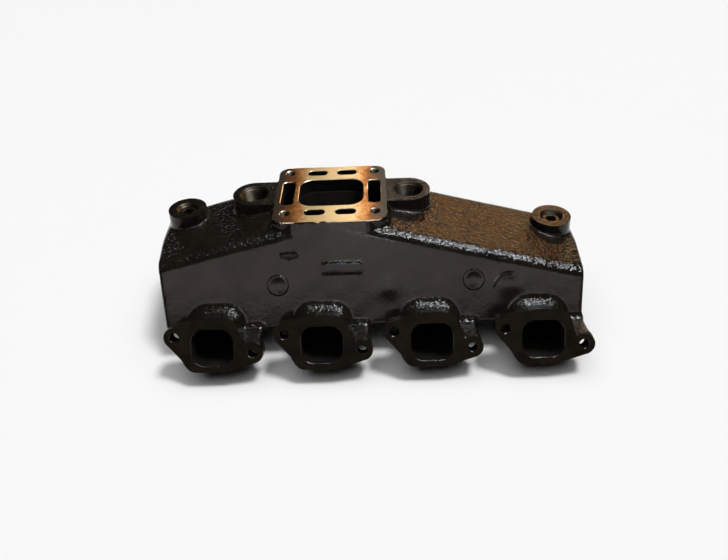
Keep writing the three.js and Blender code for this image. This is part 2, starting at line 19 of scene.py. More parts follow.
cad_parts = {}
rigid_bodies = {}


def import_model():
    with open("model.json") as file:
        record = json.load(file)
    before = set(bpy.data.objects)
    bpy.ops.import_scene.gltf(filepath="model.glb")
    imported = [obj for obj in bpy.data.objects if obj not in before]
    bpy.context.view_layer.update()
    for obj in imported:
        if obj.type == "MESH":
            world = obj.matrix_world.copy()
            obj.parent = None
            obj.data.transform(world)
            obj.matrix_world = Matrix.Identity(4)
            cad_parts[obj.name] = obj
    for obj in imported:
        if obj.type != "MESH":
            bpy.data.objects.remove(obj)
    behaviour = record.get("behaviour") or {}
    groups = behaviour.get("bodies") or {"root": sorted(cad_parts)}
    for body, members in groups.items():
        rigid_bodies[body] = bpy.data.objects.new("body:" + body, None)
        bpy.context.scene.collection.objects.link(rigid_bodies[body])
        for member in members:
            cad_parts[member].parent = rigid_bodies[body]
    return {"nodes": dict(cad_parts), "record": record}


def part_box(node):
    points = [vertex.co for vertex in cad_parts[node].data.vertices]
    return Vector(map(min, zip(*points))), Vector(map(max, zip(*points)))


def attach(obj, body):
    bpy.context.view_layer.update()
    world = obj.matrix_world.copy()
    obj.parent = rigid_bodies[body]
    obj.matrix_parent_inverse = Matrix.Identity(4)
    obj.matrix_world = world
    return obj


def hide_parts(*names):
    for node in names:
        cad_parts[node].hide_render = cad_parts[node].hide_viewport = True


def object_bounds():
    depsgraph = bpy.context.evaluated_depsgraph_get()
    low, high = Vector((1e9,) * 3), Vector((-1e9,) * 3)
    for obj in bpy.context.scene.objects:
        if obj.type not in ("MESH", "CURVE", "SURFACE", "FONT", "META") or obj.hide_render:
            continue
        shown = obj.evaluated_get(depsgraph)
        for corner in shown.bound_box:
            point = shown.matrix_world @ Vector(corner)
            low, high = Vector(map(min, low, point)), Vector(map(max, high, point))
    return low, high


for leftover in list(bpy.data.objects):
    bpy.data.objects.remove(leftover)
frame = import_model()
cad_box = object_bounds()

MM = 0.001
PARTS = frame["nodes"]
MOUNTS = {mount["name"]: mount for mount in frame["record"]["mounts"]}


# ---- places from the frame ------------------------------------------------------------------------------
def node_box(node):
    """A CAD node's lowest corner, highest corner and middle, in metres."""
    low, high = (Vector(corner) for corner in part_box(node))
    return low, high, (low + high) / 2


riser_low, riser_high, riser_middle = node_box("riser_flange")
ORIGIN = Vector((riser_middle.x, riser_low.y, riser_high.z))


def from_row(point):
    """A place in the row frame, in metres, as a place in the casting's own frame, in millimetres."""
    return (Vector(point) - ORIGIN) / MM


# ---- driving dimensions, in millimetres -------------------------------------------------------------------
WALL = 6.5
LEAN = math.radians(28)  # of the port-side wall
SIN, COS = math.sin(LEAN), math.cos(LEAN)
WALL_FOOT = 120  # height of that wall along its slope
ROOF_SLOPE = math.radians(11.5)
ROOF_Z = -11.8  # roof height at the sides of the riser flange
FLOOR_Z, FLOOR_FRONT, FLOOR_REAR = -150, -4.5, 72
REAR_Y, REAR_TAPER, REAR_CHAMFER_Z = 114, 0.14, -108
PLAN_CORNER, ROOF_EDGE, TOP_EDGE, REAR_TOP_EDGE, BELLY_EDGE, FLOOR_EDGE = 12, 9, 3, 16, 3, 6  # radii
ENDS = {-1: (-201, 0.11), 1: (289.7, 0.075)}  # where each end crosses Y = 0, and how it flares to the rear

RISER_HALF, RISER_DEPTH, RISER_THICK, RISER_CORNER, RISER_MID_Y = 65.5, 122, 11, 13, 63
GAS_OPENING = (76.5, 59, 17)  # width, depth, corner radius
WATER_OPENING, WATER_OPENING_X = (15, 51, 5), 51.5
SLOT, SLOT_X, SLOT_YS = (24, 11.5, 5.7), 18, (19.5, 108.5)
RISER_BOLT_X, RISER_BOLT_YS, RISER_BOLT_RADIUS, RISER_BOLT_DEPTH = 52, (19, 110), 5.5, 30
NECK_HALF, NECK_REAR_Y, NECK_SHOULDER_Z, NECK_FOOT_Z = 60, 121, -24, -62
NECK_FRONT_CORNER, NECK_REAR_CORNER, NECK_SHOULDER_RADIUS = 20, 18, 8
COLUMN_RADIUS, COLUMN_ZS = 11.5, (-45, -4)  # the round column under each riser bolt

HOSE_X, HOSE_Y, HOSE_RADIUS, HOSE_BORE, HOSE_TOP, HOSE_DEPTH = 92.6, 66, 25.5, 16, -1, 30
END_RADIUS, END_BORE, END_DEPTH, END_PLUG_SUNK = 23, 11.5, 27, 4
END_BOSSES = [from_row(MOUNTS[f"end_boss_face_{word}"]["pos_m"]) for word in ("left", "right")]
END_BOSS_YS = [from_row(node_box(f"end_plug_{word}")[2]).y for word in ("left", "right")]

PORTS = [from_row(MOUNTS[f"port_face_{i}"]["pos_m"]) for i in (1, 2, 3, 4)]
PORT_MOUNT_V = 27.5  # how far up each port's face its mount point lies
PORT_X, PORT_PITCH = PORTS[0].x, (PORTS[3].x - PORTS[0].x) / 3
PORT_Y, PORT_Z = PORTS[0].y - PORT_MOUNT_V * SIN, PORTS[0].z - PORT_MOUNT_V * COS
PORT_THICK, PORT_OPENING, RUNNER = 19, (46.6, 42, 14), (58, 54, 18)
RUNNER_BACK = 92  # how far behind a port's face its runner ends, inside the belly
PORT_HOLE_RADIUS, EAR_RADIUS = 5.25, 12
LEFT_EAR, RIGHT_EAR = (-41.6, 12.9), (45, -6.9)

LOG = {"left": -176, "right": 275, "front": -8, "rear": 66, "bottom": -138, "top": -84}
LOG_CORNER, LOG_WALL = 15, 5
DUCT_WALL = 5
FRONT_PLUGS, REAR_PLUGS = (1, 2), (1, 2, 3)  # numbers in their nodes' names
FRONT_PLUG_RADIUS, FRONT_PLUG_SLOPE = 12.7, 72
REAR_PLUG_RADIUS = 19
DRAIN_RADIUS, DRAIN_LENGTH, DRAIN_BORE = 17, 10, 10.5
DRAIN_HEAD, DRAIN_HEAD_LENGTH = 9, 12
BOLT_PITCH, HOSE_PITCH, PLUG_PITCH = 1.75, 2.2, 1.8  # of the threads
SOCKET, SOCKET_RIM, SOCKET_DEPTH = 6.6, 7.4, 8  # of the end plugs, to the hexagon's corners

# Marks on the port-side wall, each at a place along X and down the wall's slope.
BLANKS = (  # place; width, height and corner radius; how proud; half the softness of the edge
    ((12.2, 54), (45.5, 13, 3), 0.5, 1.5),
    ((-47.3, 37), (20, 4, 2), 0.7, 1),
)
SWELLINGS = (((66, 79), 0.8), ((201, 79.5), 1.0))  # place and height
SWELLING_SPREAD = 12
WELD_PLACE, WELD_RADIUS, WELD_HEIGHT, WELD_HALF_WIDTH = (203, 84), 18.5, 0.6, 1.6
WELD_ANGLE, WELD_HALF_ANGLE = 2.15, 0.85  # middle of the arc, and how far it reaches to either side

SPARE = 2.0  # metal left on a machined face until it is cut
ABOVE = 9  # how far a planing cut reaches above the face that it leaves
PAST = 4  # how far any other cut reaches past what it cuts
BOX_MARGIN = 6  # how far the meshing grids reach past the CAD model
SKIN_STEP, HOLLOW_STEP = 1.6, 4  # grids on which the skin and the two hollows are meshed
SKIN_FACES, WATER_FACES, GAS_FACES = 120000, 14000, 12000  # triangles left in each before it is cut


# ---- signed distances -------------------------------------------------------------------------------------
def flat(p, normal, point):
    """Distance outside a plane."""
    normal = np.array(normal, float)
    return (p - np.array(point, float)) @ (normal / np.linalg.norm(normal))


def round_cut(a, b, radius):
    """What is inside both, with their shared edge rounded."""
    outside = np.hypot(np.maximum(a + radius, 0), np.maximum(b + radius, 0))
    return np.minimum(np.maximum(a, b), -radius) + outside


def round_join(a, b, radius):
    """What is inside either, with a fillet between them."""
    inside = np.hypot(np.maximum(radius - a, 0), np.maximum(radius - b, 0))
    return np.maximum(np.minimum(a, b), radius) - inside


def rounded_rect(u, v, width, height, corner):
    du = np.abs(u) - (width / 2 - corner)
    dv = np.abs(v) - (height / 2 - corner)
    return np.hypot(np.maximum(du, 0), np.maximum(dv, 0)) + np.minimum(np.maximum(du, dv), 0) - corner


def closed_outline(u, v, points):
    """Distance outside a closed outline of straight lines."""
    nearest = np.full(u.shape, np.inf)
    inside = np.zeros(u.shape, bool)
    for (au, av), (bu, bv) in zip(points, np.roll(points, -1, axis=0)):
        eu, ev = bu - au, bv - av
        wu, wv = u - au, v - av
        along = np.clip((wu * eu + wv * ev) / (eu * eu + ev * ev), 0, 1)
        nearest = np.minimum(nearest, (wu - along * eu) ** 2 + (wv - along * ev) ** 2)
        if ev:
            inside ^= ((av > v) != (bv > v)) & (wu < eu * wv / ev)
    return np.where(inside, -1, 1) * np.sqrt(nearest)


def between(value, low, high):
    return np.abs(value - (low + high) / 2) - (high - low) / 2


def smooth_step(value, low, high):
    t = np.clip((value - low) / (high - low), 0, 1)
    return t * t * (3 - 2 * t)


# ---- the casting's outside --------------------------------------------------------------------------------
def wall_coordinates(p):
    """How far down the slope of the port-side wall, and how far outside it."""
    slope = -(p[:, 1] * SIN + p[:, 2] * COS)
    outside = -p[:, 1] * COS + p[:, 2] * SIN
    return slope, outside


def roof_distance(p):
    across = np.abs(p[:, 0]) - RISER_HALF
    return across * math.sin(ROOF_SLOPE) + (p[:, 2] - ROOF_Z) * math.cos(ROOF_SLOPE)


def rear_distance(p):
    middle = p[:, 1] - REAR_Y
    tapered = (middle + REAR_TAPER * (np.abs(p[:, 0]) - RISER_HALF)) / math.hypot(1, REAR_TAPER)
    return np.maximum(middle, tapered)


def end_distance(p, side):
    x, flare = ENDS[side]
    return flat(p, (side, -flare, 0), (x, 0, 0))


def jacket(p, edges=1.0):
    """The long hollow box. edges scales its edge radii."""
    _, front = wall_coordinates(p)
    belly_normal = (0, FLOOR_Z + WALL_FOOT * COS, -FLOOR_FRONT - WALL_FOOT * SIN)
    belly_front = flat(p, belly_normal, (0, FLOOR_FRONT, FLOOR_Z))
    belly_rear = flat(p, (0, REAR_CHAMFER_Z - FLOOR_Z, FLOOR_REAR - REAR_Y), (0, REAR_Y, REAR_CHAMFER_Z))
    rear_edge = smooth_step(p[:, 1], 20, 95)
    plan = rear_distance(p)
    for side in ENDS:
        plan = round_cut(plan, end_distance(p, side), PLAN_CORNER * edges)
    top = round_cut(roof_distance(p), front, ROOF_EDGE * edges)
    box = round_cut(top, plan, (TOP_EDGE + (REAR_TOP_EDGE - TOP_EDGE) * rear_edge) * edges)
    box = round_cut(box, belly_front, BELLY_EDGE * edges)
    for underside in (FLOOR_Z - p[:, 2], belly_rear):
        box = round_cut(box, underside, FLOOR_EDGE * edges)
    return box


def off_wall_plane(front):
    """0 in the plane of the port-side wall, where the neck is flush and has no fillet, 1 well off it."""
    return smooth_step(np.abs(front), 0.5, 10)


def riser(p):
    """The neck, its four bolt columns and the flange, with spare metal on its face."""
    x, y, z = p.T
    _, front = wall_coordinates(p)
    rear = flat(p, (0, NECK_SHOULDER_Z - NECK_FOOT_Z, REAR_Y - NECK_REAR_Y), (0, REAR_Y, NECK_FOOT_Z))
    rear = round_cut(rear, y - NECK_REAR_Y, NECK_SHOULDER_RADIUS)
    neck = round_cut(np.maximum(front, NECK_FOOT_Z - z), np.abs(x) - NECK_HALF, NECK_FRONT_CORNER)
    neck = round_cut(neck, rear, NECK_REAR_CORNER)
    column_y = np.where(y < RISER_MID_Y, RISER_BOLT_YS[0], RISER_BOLT_YS[1])
    columns = np.hypot(np.abs(x) - RISER_BOLT_X, y - column_y) - COLUMN_RADIUS
    columns = np.maximum(columns, between(z, *COLUMN_ZS))
    off_wall = off_wall_plane(front)
    neck = round_join(neck, columns, 5 * off_wall)
    plate = rounded_rect(x, y - RISER_DEPTH / 2, 2 * RISER_HALF, RISER_DEPTH, RISER_CORNER)
    plate = round_cut(plate, between(z, -RISER_THICK, 3 * SPARE), 2)
    return np.maximum(round_join(neck, plate, 5 * off_wall), z - SPARE)


def hose_bosses(p):
    x, y, z = p.T
    along = np.maximum(np.abs(x) - HOSE_X, np.minimum(np.abs(x) - HOSE_X + 40, 0))
    sides = np.hypot(along, y - HOSE_Y) - HOSE_RADIUS + 0.03 * (z - HOSE_TOP)
    return np.maximum(sides, between(z, -50, HOSE_TOP + SPARE))


def end_bosses(p):
    x, y, z = p.T
    distance = np.full(x.shape, np.inf)
    for boss, middle_y in zip(END_BOSSES, END_BOSS_YS):
        column = np.hypot(x - boss.x, y - middle_y) - END_RADIUS + 0.04 * (z - boss.z)
        distance = np.minimum(distance, np.maximum(column, between(z, boss.z - 40, boss.z + SPARE)))
    return distance


def arc(centre, radius, start, end, steps=12):
    angles = np.linspace(start, end, steps)
    return [(centre[0] + radius * math.cos(a), centre[1] + radius * math.sin(a)) for a in angles]


def bend(start, control, end, steps=6):
    times = np.linspace(0, 1, steps)
    points = [np.array(q, float) for q in (start, control, end)]
    return [tuple((1 - t) ** 2 * points[0] + 2 * t * (1 - t) * points[1] + t * t * points[2]) for t in times]


FLANGE_OUTLINE = np.array(
    arc(LEFT_EAR, EAR_RADIUS, 1.75, 3.85)
    + bend((-35, -13), (-30, -27), (-21, -28))
    + [(16, -28)]
    + arc(RIGHT_EAR, EAR_RADIUS, -1.15, 2.35)
    + bend((32, 17), (29, 31), (17, 33))
    + bend((15, 33.2), (-2, 36), (-26, 30))
)


def port_coordinates(p):
    """Across, up and into the nearest port."""
    index = np.clip(np.round((p[:, 0] - PORT_X) / PORT_PITCH), 0, len(PORTS) - 1)
    y, z = p[:, 1] - PORT_Y, p[:, 2] - PORT_Z
    return p[:, 0] - PORT_X - index * PORT_PITCH, y * SIN + z * COS, y * COS - z * SIN


def along_runner(p):
    """Height above the middle of a runner, which turns level behind its flange and then grows a little."""
    _, v, depth = port_coordinates(p)
    scale = COS + (1 - COS) * np.clip((depth - PORT_THICK) / 50, 0, 1)
    middle = PORT_Z - PORT_THICK * SIN
    return np.where(depth < PORT_THICK, v, (p[:, 2] - middle) / scale)


def ports(p):
    """The four flanges and runners. Well away from them, only a lower bound."""
    u, v, depth = port_coordinates(p)
    distance = np.maximum(between(depth, -10, 100), between(v, -60, 60)) + 12
    near = distance < 16
    level, u, v, depth = along_runner(p)[near], u[near], v[near], depth[near]
    runner = np.maximum(rounded_rect(u, level, *RUNNER), between(depth, 8, RUNNER_BACK))
    flange = round_cut(closed_outline(u, v, FLANGE_OUTLINE), between(depth, -SPARE - 4, PORT_THICK), 2.5)
    shape = round_join(flange, runner, 4)
    lug_top = v - 3.5 - 0.31 * depth
    lug = round_cut(np.maximum(lug_top, -2 - v), between(u, 20, 53), 4)
    shape = round_join(shape, np.maximum(lug, between(depth, 5, 50)), 5)
    distance[near] = np.maximum(shape, -SPARE - depth)
    return distance


def wall_marks(p):
    """How far the port-side wall stands proud of its plane: blanks, soft swellings and a faint weld arc."""
    slope, _ = wall_coordinates(p)
    x = p[:, 0]
    proud = np.zeros(len(p))
    for (along, down), size, height, softness in BLANKS:
        inside = -rounded_rect(x - along, slope - down, *size)
        proud += height * smooth_step(inside, -softness, softness)
    for (along, down), height in SWELLINGS:
        away = ((x - along) ** 2 + (slope - down) ** 2) / SWELLING_SPREAD**2
        proud += height * np.exp(-away)
    across, up = x - WELD_PLACE[0], WELD_PLACE[1] - slope
    beside = np.abs(np.hypot(across, up) - WELD_RADIUS)
    beyond = np.abs(np.arctan2(up, across) - WELD_ANGLE)
    faded = smooth_step(-beyond, -WELD_HALF_ANGLE, 0.25 - WELD_HALF_ANGLE)
    return proud + WELD_HEIGHT * smooth_step(-beside, -WELD_HALF_WIDTH, 0) * faded


def waviness(p):
    """The slight unevenness of a sand casting, within about a fifth of a millimetre."""
    x, y, z = (p / 19.0).T
    slow = np.sin(x + 1.7 * np.sin(0.6 * y)) * np.cos(0.8 * y - 0.9 * z) + np.sin(0.55 * x - 1.3 * z + 0.9)
    quick = np.sin(2.9 * x + 1.1) * np.sin(3.3 * y + 2.0 * z) + np.cos(4.1 * z - 2.3 * x)
    return 0.06 * slow + 0.03 * quick


def drain_coordinates(p):
    """How far from the drain's axis, and how far out of the rear wall."""
    middle = from_row(node_box("drain_boss")[2])
    outward = np.array((REAR_TAPER, 1, 0)) / math.hypot(1, REAR_TAPER)
    offset = p - np.array(middle)
    along = offset @ outward
    return np.linalg.norm(offset - along[:, None] * outward, axis=1), rear_distance(p)


def casting(p):
    """Signed distance to the whole casting before it is machined."""
    slope, front = wall_coordinates(p)
    on_wall = smooth_step(-np.abs(front), -6, -2) * smooth_step(slope, 20, 34)
    body = jacket(p) - on_wall * wall_marks(p)
    body = round_join(body, riser(p), 9 * off_wall_plane(front))
    body = round_join(body, hose_bosses(p), 3)
    body = round_join(body, end_bosses(p), 3)
    radius, proud = drain_coordinates(p)
    body = round_join(body, round_cut(radius - DRAIN_RADIUS, between(proud, -10, DRAIN_LENGTH), 1.5), 3)
    return round_join(body, ports(p), 8)


# ---- the casting's inside ---------------------------------------------------------------------------------
def gas_log(p, grow):
    """The long tube that gathers the exhaust, with a box's flat ends."""
    _, y, z = p.T
    mid_y, mid_z = (LOG["front"] + LOG["rear"]) / 2, (LOG["bottom"] + LOG["top"]) / 2
    width, height = LOG["rear"] - LOG["front"] + 2 * grow, LOG["top"] - LOG["bottom"] + 2 * grow
    section = rounded_rect(y - mid_y, z - mid_z, width, height, LOG_CORNER + grow)
    return np.maximum(section, between(p[:, 0], LOG["left"] - grow, LOG["right"] + grow))


def gas_duct(p, grow):
    """The leaning passage from the log up to the riser's face."""
    x, y, z = p.T
    log_y = (LOG["front"] + LOG["rear"]) / 2
    share = np.clip((z - LOG["top"]) / (-RISER_THICK - LOG["top"]), 0, 1)
    middle = log_y + (RISER_MID_Y - log_y) * share
    width, depth, corner = GAS_OPENING
    section = rounded_rect(x, y - middle, width + 2 * grow, depth + 2 * grow, corner + grow)
    return np.maximum(section, LOG["top"] - 12 - z)


def runners(p, grow):
    """The passage behind each port's mouth."""
    u, _, depth = port_coordinates(p)
    width, height, corner = PORT_OPENING
    section = rounded_rect(u, along_runner(p), width + 2 * grow, height + 2 * grow, corner + grow)
    return np.maximum(section, -depth)


def gas_passage(p):
    """Everywhere that the exhaust flows."""
    ways_in = np.maximum(runners(p, 0), flat(p, (0, 1, 0), (0, LOG["front"] + 20, 0)))
    inside = round_join(gas_log(p, -LOG_WALL), ways_in, 6)
    return np.maximum(round_join(inside, gas_duct(p, 0), 6), p[:, 2] - 2)


def water_space(p):
    """Everywhere that the cooling water flows: inside the walls and round the gas passage."""
    x, y, z = p.T
    room = round_cut(jacket(p, 0.6), roof_distance(p), 4) + WALL
    _, front = wall_coordinates(p)
    neck = np.maximum(np.maximum(np.abs(x) - NECK_HALF, y - NECK_REAR_Y), front) + WALL
    neck = np.maximum(neck, between(z, NECK_FOOT_Z, -RISER_THICK))
    room = round_join(room, neck, 4)
    column_y = np.where(y < RISER_MID_Y, RISER_BOLT_YS[0], RISER_BOLT_YS[1])
    columns = np.hypot(np.abs(x) - RISER_BOLT_X, y - column_y) - (RISER_BOLT_RADIUS + 4.5)
    columns = np.maximum(columns, -RISER_BOLT_DEPTH - 5 - z)
    iron = np.minimum(gas_log(p, 0), gas_duct(p, DUCT_WALL))
    iron = np.minimum(iron, np.maximum(runners(p, 6), y - LOG["front"] - 8))
    return round_cut(np.maximum(room, -iron), -columns, 2)


# ---- from a signed distance to a mesh ---------------------------------------------------------------------
def sample(distance, low, high, step, block=5):
    """Values on a grid. Only blocks near the surface are worked out point by point."""
    counts = np.ceil((high - low) / (step * block)).astype(int)
    coarse_axes = [low[i] + (np.arange(counts[i]) * block + (block - 1) / 2) * step for i in range(3)]
    coarse = distance(np.stack(np.meshgrid(*coarse_axes, indexing="ij"), -1).reshape(-1, 3)).reshape(counts)
    values = coarse
    for axis in range(3):
        values = np.repeat(values, block, axis)
    reach = step * block * 1.4  # well over half a block's diagonal
    near = np.argwhere(np.abs(values) < reach)
    values[tuple(near.T)] = distance(low + near * step)
    return values


CORNERS = np.array([(i, j, k) for i in (0, 1) for j in (0, 1) for k in (0, 1)])
CELL_EDGES = [
    (a, b) for a in range(8) for b in range(a + 1, 8) if np.abs(CORNERS[a] - CORNERS[b]).sum() == 1
]


def surface_nets(values, low, step):
    """One vertex in every cell that the surface passes through, and one quad across every grid edge."""
    inside = values < 0
    shape = np.array(values.shape) - 1
    total = np.zeros(shape, int)
    for i, j, k in CORNERS:
        total += inside[i : i + shape[0], j : j + shape[1], k : k + shape[2]]
    cells = np.argwhere((total > 0) & (total < 8))
    at_corners = np.stack([values[tuple((cells + corner).T)] for corner in CORNERS], 1)
    place = np.zeros((len(cells), 3))
    count = np.zeros(len(cells))
    for a, b in CELL_EDGES:
        va, vb = at_corners[:, a], at_corners[:, b]
        crossed = (va < 0) != (vb < 0)
        share = np.where(crossed, va / np.where(crossed, va - vb, 1), 0)
        place += np.where(crossed[:, None], CORNERS[a] + share[:, None] * (CORNERS[b] - CORNERS[a]), 0)
        count += crossed
    vertices = low + (cells + place / count[:, None]) * step
    number = np.full(shape, -1)
    number[tuple(cells.T)] = np.arange(len(cells))
    quads = []
    for axis in range(3):
        one, other = (axis + 1) % 3, (axis + 2) % 3
        first = np.take(inside, range(shape[axis]), axis)
        second = np.take(inside, range(1, shape[axis] + 1), axis)
        for starts_inside in (True, False):
            edges = np.argwhere((first != second) & (first == starts_inside))
            edges = edges[(edges[:, one] > 0) & (edges[:, other] > 0)]
            ring = []
            for back_one, back_other in ((1, 1), (0, 1), (0, 0), (1, 0)):
                cell = edges.copy()
                cell[:, one] -= back_one
                cell[:, other] -= back_other
                ring.append(number[tuple(cell.T)])
            quads.append(np.stack(ring if starts_inside else ring[::-1], 1))
    return vertices, np.concatenate(quads)


def settle(vertices, distance, rounds=2, reach=0.2):
    """Moves vertices onto the surface itself."""
    for _ in range(rounds):
        value = distance(vertices)
        shifts = np.eye(3) * reach
        slope = np.stack([distance(vertices + s) - distance(vertices - s) for s in shifts], 1) / (2 * reach)
        length = np.maximum((slope**2).sum(1), 0.25)
        vertices = vertices - np.clip(value, -1, 1)[:, None] * slope / length[:, None]
    return vertices


def mesh_object(name, vertices, faces):
    """A Blender object from millimetres in the casting's frame."""
    mesh = bpy.data.meshes.new(name)
    placed = np.asarray(vertices, float) * MM + np.array(ORIGIN)
    mesh.from_pydata(placed.tolist(), [], [list(map(int, face)) for face in faces])
    mesh.update()
    piece = bpy.data.objects.new(name, mesh)
    bpy.context.scene.collection.objects.link(piece)
    return piece


def bake(piece):
    """Applies a piece's modifiers."""
    graph = bpy.context.evaluated_depsgraph_get()
    mesh = bpy.data.meshes.new_from_object(piece.evaluated_get(graph))
    piece.modifiers.clear()
    old, piece.data = piece.data, mesh
    bpy.data.meshes.remove(old)


def solid_from(name, distance, low, high, step, triangles):
    """A closed mesh of a signed distance, thinned where it is flat."""
    low, high = np.array(low, float), np.array(high, float)
    vertices, quads = surface_nets(sample(distance, low, high, step), low, step)
    piece = mesh_object(name, settle(vertices, distance), quads)
    thin = piece.modifiers.new("thin", "DECIMATE")
    thin.ratio = min(1, triangles / (2 * len(quads)))
    bake(piece)
    return piece


# ---- cutting tools ----------------------------------------------------------------------------------------
def rect_outline(size, middle, grow=0.0, steps=8):
    width, height, corner = size
    corner = corner + grow
    points = []
    for quarter, (su, sv) in enumerate(((1, 1), (-1, 1), (-1, -1), (1, -1))):
        centre = (middle[0] + su * (width / 2 + grow - corner), middle[1] + sv * (height / 2 + grow - corner))
        points += arc(centre, corner, quarter * math.pi / 2, (quarter + 1) * math.pi / 2, steps)
    return points


def circle_outline(radius, middle=(0, 0), steps=48):
    return arc(middle, radius, 0, 2 * math.pi * (1 - 1 / steps), steps)


UPRIGHT = Matrix.Identity(4)


def port_frame(index):
    """A port's own frame: across, up its face, and out of it."""
    matrix = Matrix(((1, 0, 0), (0, SIN, -COS), (0, COS, SIN))).to_4x4()
    matrix.translation = (PORT_X + PORT_PITCH * index, PORT_Y, PORT_Z)
    return matrix


def axis_frame(point, outward):
    """A frame whose third axis points outward from a place, with its second one upright where it can be."""
    outward = Vector(outward).normalized()
    across = Vector((0, 0, 1)).cross(outward)
    across = across.normalized() if across.length > 0.01 else Vector((1, 0, 0))
    matrix = Matrix((across, outward.cross(across), outward)).transposed().to_4x4()
    matrix.translation = point
    return matrix


def upright_at(x, y, z):
    return axis_frame((x, y, z), (0, 0, 1))


def wall_frame(number):
    """On the port-side wall at a front core plug, pointing out of it."""
    x = from_row(node_box(f"front_core_plug_{number}")[2]).x
    place = (x, -SIN * FRONT_PLUG_SLOPE, -COS * FRONT_PLUG_SLOPE)
    return axis_frame(place, (0, -COS, SIN))


def rear_frame(node):
    """On the rear wall at a node, pointing out of it."""
    middle = from_row(node_box(node)[2])
    tapered = abs(middle.x) > RISER_HALF
    y = REAR_Y - (REAR_TAPER * (abs(middle.x) - RISER_HALF) if tapered else 0)
    outward = (math.copysign(REAR_TAPER, middle.x) if tapered else 0, 1, 0)
    return axis_frame((middle.x, y, middle.z), outward)


def stack(name, levels, matrix=UPRIGHT):
    """A closed solid through outlines of equal length, each at its own height."""
    count = len(levels[0][1])
    points = [matrix @ Vector((u, v, height)) for height, outline in levels for u, v in outline]
    faces = [list(range(count))[::-1], list(range(len(points) - count, len(points)))]
    for level in range(len(levels) - 1):
        for i in range(count):
            j = (i + 1) % count
            below = level * count
            faces.append([below + i, below + j, below + count + j, below + count + i])
    return mesh_object(name, points, faces)


def threaded(name, radius, depth, pitch, matrix, middle=(0, 0), rim=1.2):
    """A threaded hole as a cutting tool, from below upwards, with a countersunk rim."""
    tooth = pitch * 0.45
    levels = []
    for turn in range(int(depth / pitch), 0, -1):
        levels.append((-turn * pitch - rim, radius - tooth))
        levels.append((-(turn - 0.5) * pitch - rim, radius + tooth * 0.35))
    levels += [(-rim, radius), (0, radius + rim), (PAST, radius + rim)]
    return stack(name, [(height, circle_outline(size, middle)) for height, size in levels], matrix)


def rimmed(outline, bottom, rim=0.9):
    """Levels of a plain hole with a small chamfer where it meets a face at height 0."""
    return [(bottom, outline(0)), (-rim, outline(0)), (0, outline(rim)), (PAST, outline(rim))]


def slab(name, outline, face, matrix=UPRIGHT):
    """A cut that planes a face at a height."""
    return stack(name, [(face, outline), (face + ABOVE, outline)], matrix)


def face_cutters():
    """Slabs that plane the machined faces flat."""
    cutters = [slab("plane_riser", rect_outline((142, 140, 8), (0, 61)), 0)]
    for side in (-1, 1):
        outline = rect_outline((70, 70, 8), (side * (RISER_HALF + 35.4), HOSE_Y))
        cutters.append(slab("plane_hose", outline, HOSE_TOP))
    for boss, middle_y in zip(END_BOSSES, END_BOSS_YS):
        cutters.append(slab("plane_end", circle_outline(END_RADIUS + 8, (boss.x, middle_y)), boss.z))
    for index in range(len(PORTS)):
        cutters.append(slab("plane_port", rect_outline((116, 90, 8), (-1, 3)), 0, port_frame(index)))
    return cutters


def riser_cutters():
    """The gas and water openings, and the threads of the riser's four bolts."""
    through = -RISER_THICK - 8
    gas = partial(rect_outline, GAS_OPENING, (0, RISER_MID_Y))
    cutters = [stack("gas", rimmed(gas, -RISER_THICK - 6))]
    for side in (-1, 1):
        water = partial(rect_outline, WATER_OPENING, (side * WATER_OPENING_X, RISER_MID_Y))
        cutters.append(stack("water", rimmed(water, through)))
        for y in SLOT_YS:
            slot = partial(rect_outline, SLOT, (side * SLOT_X, y))
            cutters.append(stack("slot", rimmed(slot, through, 0.6)))
        for y in RISER_BOLT_YS:
            place = (side * RISER_BOLT_X, y)
            bolt = (RISER_BOLT_RADIUS, RISER_BOLT_DEPTH, BOLT_PITCH)
            cutters.append(threaded("bolt", *bolt, UPRIGHT, place, 1.0))
        top = upright_at(side * HOSE_X, HOSE_Y, HOSE_TOP)
        cutters.append(threaded("hose", HOSE_BORE, HOSE_DEPTH, HOSE_PITCH, top, rim=1.6))
    return cutters


def port_bolt_outline(place, grow):
    return circle_outline(PORT_HOLE_RADIUS + grow, place)


def port_cutters():
    """The bolt holes and the mouth of each port."""
    cutters = []
    for index in range(len(PORTS)):
        for ear in (LEFT_EAR, RIGHT_EAR):
            hole = rimmed(partial(port_bolt_outline, ear), -PORT_THICK - 3, 0.6)
            cutters.append(stack("port_bolt", hole, port_frame(index)))
        mouth = rimmed(partial(rect_outline, PORT_OPENING, (0, 0)), -8, 0.7)
        cutters.append(stack("port", mouth, port_frame(index)))
    return cutters


def plug_cutters():
    """The seats and threads that plugs sit in."""
    cutters = []
    for boss, middle_y in zip(END_BOSSES, END_BOSS_YS):
        top = upright_at(boss.x, middle_y, boss.z)
        cutters.append(threaded("end", END_BORE, END_DEPTH, PLUG_PITCH, top, rim=2.2))
    for number in FRONT_PLUGS:
        seat = circle_outline(FRONT_PLUG_RADIUS)
        cutters.append(stack("front_seat", [(-WALL - 2, seat), (6, seat)], wall_frame(number)))
    for number in REAR_PLUGS:
        seat = circle_outline(REAR_PLUG_RADIUS)
        place = rear_frame(f"rear_core_plug_{number}")
        cutters.append(stack("rear_seat", [(-WALL - 4, seat), (6, seat)], place))
    drain = rear_frame("drain_boss")
    drain.translation += drain.to_3x3() @ Vector((0, 0, DRAIN_LENGTH))
    cutters.append(threaded("drain", DRAIN_BORE, DRAIN_LENGTH + WALL + 4, PLUG_PITCH, drain, rim=1.4))
    return cutters


def combine(piece, tools, operation):
    """Cuts solids from a piece, or joins them to it."""
    for tool in tools:
        boolean = piece.modifiers.new(tool.name, "BOOLEAN")
        boolean.operation = operation
        boolean.solver = "MANIFOLD"
        boolean.object = tool
    bake(piece)
    for tool in tools:
        bpy.data.objects.remove(tool)


